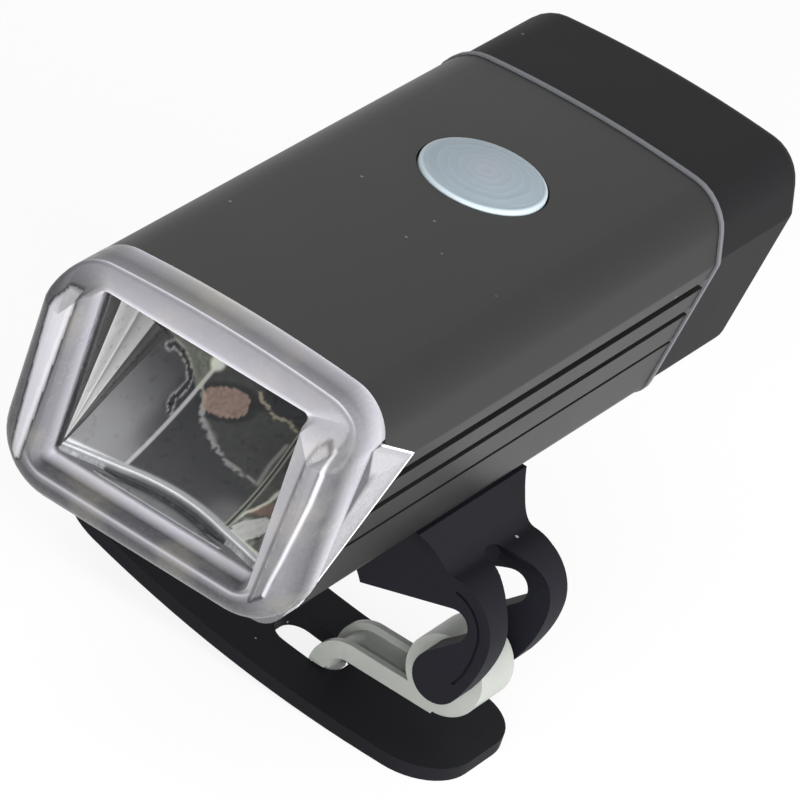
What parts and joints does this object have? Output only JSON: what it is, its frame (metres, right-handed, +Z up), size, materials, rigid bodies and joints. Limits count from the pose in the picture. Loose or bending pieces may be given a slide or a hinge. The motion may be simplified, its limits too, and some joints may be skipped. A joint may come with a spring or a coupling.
{
  "type": "bike light",
  "caption": "Rechargeable front bike light in a black aluminium housing with a clear lens, a push button, a pull-off rear cap and a swivelling rubber strap bracket with a latch.",
  "frame": {"origin": "on the axis of the handlebar that the saddle holds, straight under the swivel screw", "axes": "+Y along the bar axis and towards the rear cap, the beam points to -Y, +Z up from the bar to the housing, +X towards the latch hook"},
  "size_m": [0.05, 0.0909, 0.0531],
  "materials": {
    "black_anodised": "fine matte black anodising",
    "clear_lens": "polished clear plastic",
    "reflector_metal": "bright vacuum-coated metal",
    "board_copper": "copper-brown circuit board",
    "board_green": "green circuit board",
    "led_phosphor": "phosphor-yellow emitter",
    "pad_grey": "soft grey thermal pad",
    "button_silicone": "milky translucent silicone",
    "switch_metal": "stamped cover",
    "switch_black": "moulded black",
    "seal_black": "black seal rubber",
    "seal_grey": "light grey silicone seal",
    "indicator": "clear indicator lamp",
    "battery_wrap": "blue shrink wrap",
    "inner_plastic": "moulded dark grey",
    "wire_red": "insulated wire",
    "cap_plastic": "fine matte black",
    "screw_steel": "plain stainless steel",
    "plug_steel": "bright plated shell",
    "plug_insulator": "white insulator",
    "insert_nylon": "moulded black nylon",
    "bracket_rubber": "matte black rubber",
    "strap_rubber": "matte black rubber",
    "latch_nylon": "natural translucent nylon"
  },
  "bodies": {
    "housing": {"body_shell": "black_anodised", "front_lens": "clear_lens", "reflector": "reflector_metal", "led_board": "board_copper", "led_emitter": "led_phosphor", "thermal_pad": "pad_grey", "main_board": "board_green", "tact_switch": "switch_metal", "button_seal": "seal_black", "indicator_leds": "indicator", "battery_cell": "battery_wrap", "battery_cradle": "inner_plastic", "battery_leads": "wire_red", "lens_gasket": "seal_black", "end_plate": "inner_plastic", "end_plate_screws": "screw_steel", "cap_seal": "seal_black", "rear_gasket": "seal_grey", "plug_shell": "plug_steel", "plug_tongue": "plug_insulator", "swivel_screw": "screw_steel", "swivel_nut": "screw_steel"},
    "button": {"power_button": "button_silicone", "switch_plunger": "switch_black"},
    "cap": {"rear_cap": "cap_plastic"},
    "bracket": {"rubber_bracket": "bracket_rubber", "bracket_insert": "insert_nylon", "swivel_washer": "insert_nylon", "strap": "strap_rubber", "strap_pin": "screw_steel", "latch_pin": "screw_steel"},
    "latch": {"latch_hook": "latch_nylon"}
  },
  "joints": [
    {"name": "button_press", "type": "slide", "parent": "housing", "child": "button", "axis": [0, 0, -1], "range_m": [0, 0.0006], "stiffness_N_per_m": 1500, "springref_m": -0.001},
    {"name": "cap_pull", "type": "slide", "parent": "housing", "child": "cap", "axis": [0, 1, 0], "range_m": [0, 0.02]},
    {"name": "bracket_swivel", "type": "hinge", "parent": "housing", "child": "bracket", "pos_m": [0, 0, 0.016], "axis": [0, 0, 1], "continuous": true},
    {"name": "latch_swing", "type": "hinge", "parent": "bracket", "child": "latch", "pos_m": [0.0198, 0, 0.0008], "axis": [0, 1, 0], "range_deg": [0, 35]}
  ]
}
